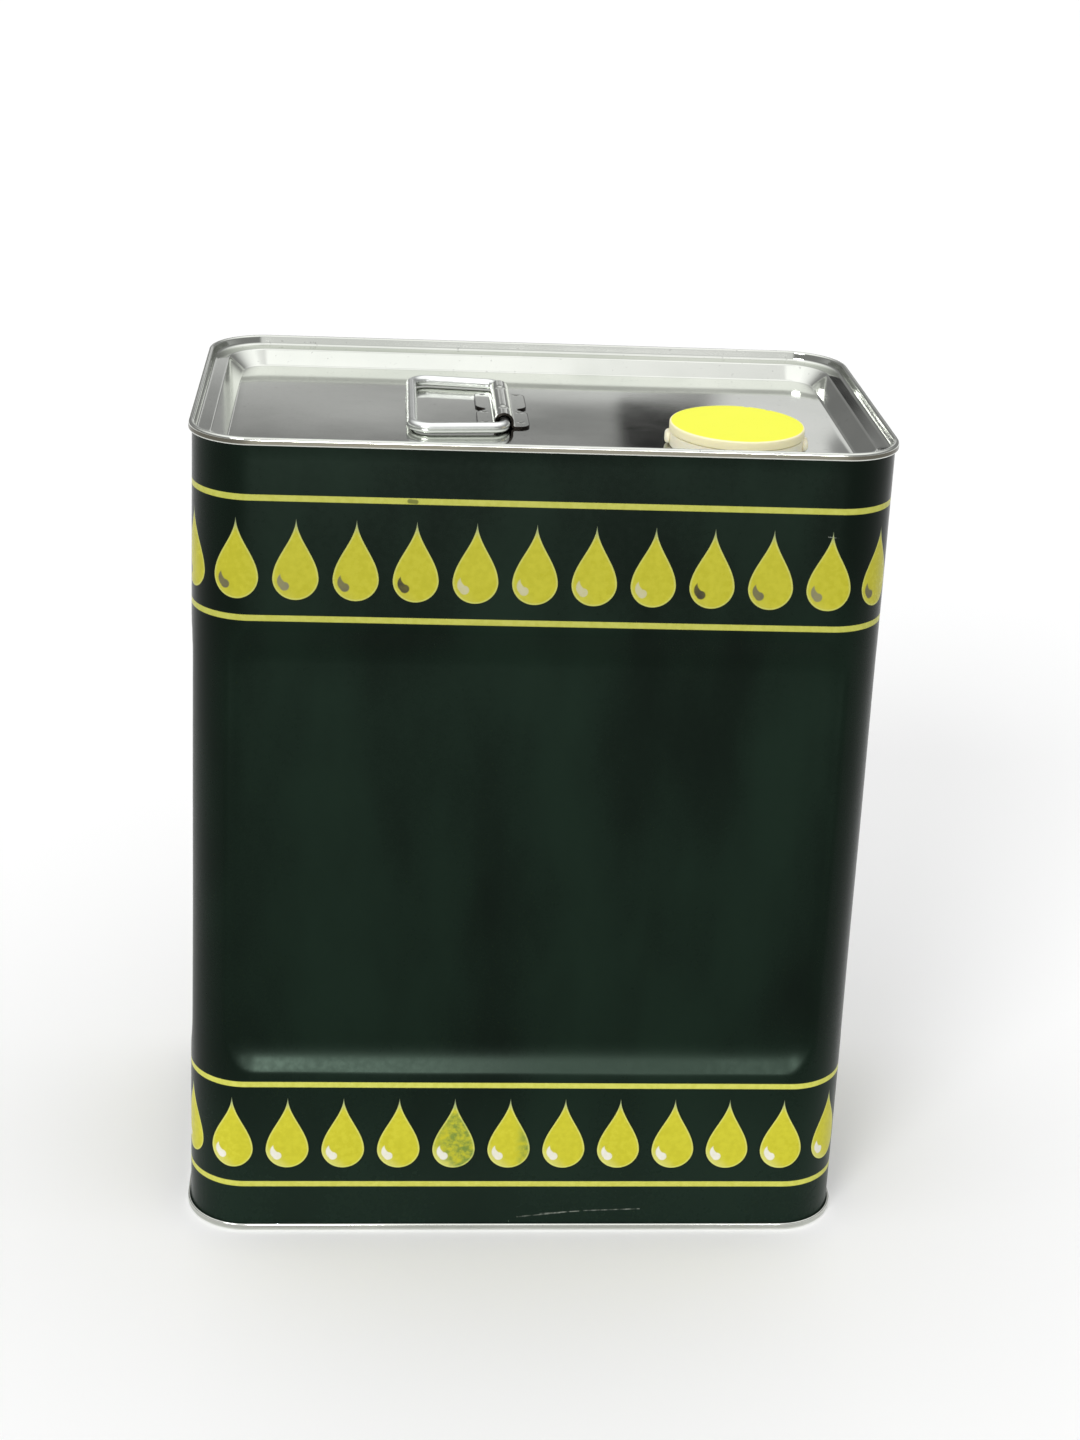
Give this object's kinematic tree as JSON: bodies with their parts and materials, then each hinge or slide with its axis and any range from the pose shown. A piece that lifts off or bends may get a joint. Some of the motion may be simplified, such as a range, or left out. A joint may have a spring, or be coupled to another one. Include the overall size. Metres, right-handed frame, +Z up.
{
  "type": "oil tin",
  "caption": "Oblong tinplate oil tin with double-seamed ends, a flat-folded wire handle and a plastic pull-up pouring spout with a screw cap.",
  "frame": {"origin": "middle of the foot, on the surface the tin stands on", "axes": "+Z up along the tin's height, -Y towards the front big face, +X to the right where the spout is"},
  "size_m": [0.2484, 0.1464, 0.31],
  "materials": {
    "printed_tinplate": "glossy varnished print, dark green with yellow drops and stripes",
    "bare_tinplate": "bright rolled tinplate, satin gloss",
    "tinned_wire": "bright tinned wire",
    "seam_compound": "dull set compound",
    "natural_plastic": "waxy natural polyethylene",
    "liner_foam": "white foam",
    "yellow_plastic": "bright yellow, soft gloss"
  },
  "bodies": {
    "tin": {"body_shell": "printed_tinplate", "top_end": "bare_tinplate", "bottom_end": "bare_tinplate", "top_seam_compound": "seam_compound", "bottom_seam_compound": "seam_compound", "handle_bracket": "bare_tinplate", "spout_collar": "natural_plastic", "spout_membrane": "natural_plastic"},
    "handle": {"handle_bail": "tinned_wire"},
    "spout": {"spout_nozzle": "natural_plastic"},
    "liner": {"cap_liner": "liner_foam"},
    "screw_cap": {"cap": "yellow_plastic"}
  },
  "joints": [
    {"name": "handle_swing", "type": "hinge", "parent": "tin", "child": "handle", "pos_m": [-0.0136, 0.003, 0.30295], "axis": [0, 1, 0], "range_deg": [0, 180]},
    {"name": "spout_pull", "type": "slide", "parent": "tin", "child": "spout", "axis": [0, 0, 1], "range_m": [0, 0.024], "deforming": ["spout_membrane"]},
    {"name": "cap_lift", "type": "slide", "parent": "spout", "child": "liner", "axis": [0, 0, 1], "range_m": [0, 0.016]},
    {"name": "cap_turn", "type": "hinge", "parent": "liner", "child": "screw_cap", "pos_m": [0.0688, -0.0356, 0.3086], "axis": [0, 0, 1], "range_deg": [0, 1440]}
  ],
  "couplings": [
    {"joint": "cap_lift", "follows": "cap_turn", "m_per_rad": 0.0006366}
  ]
}
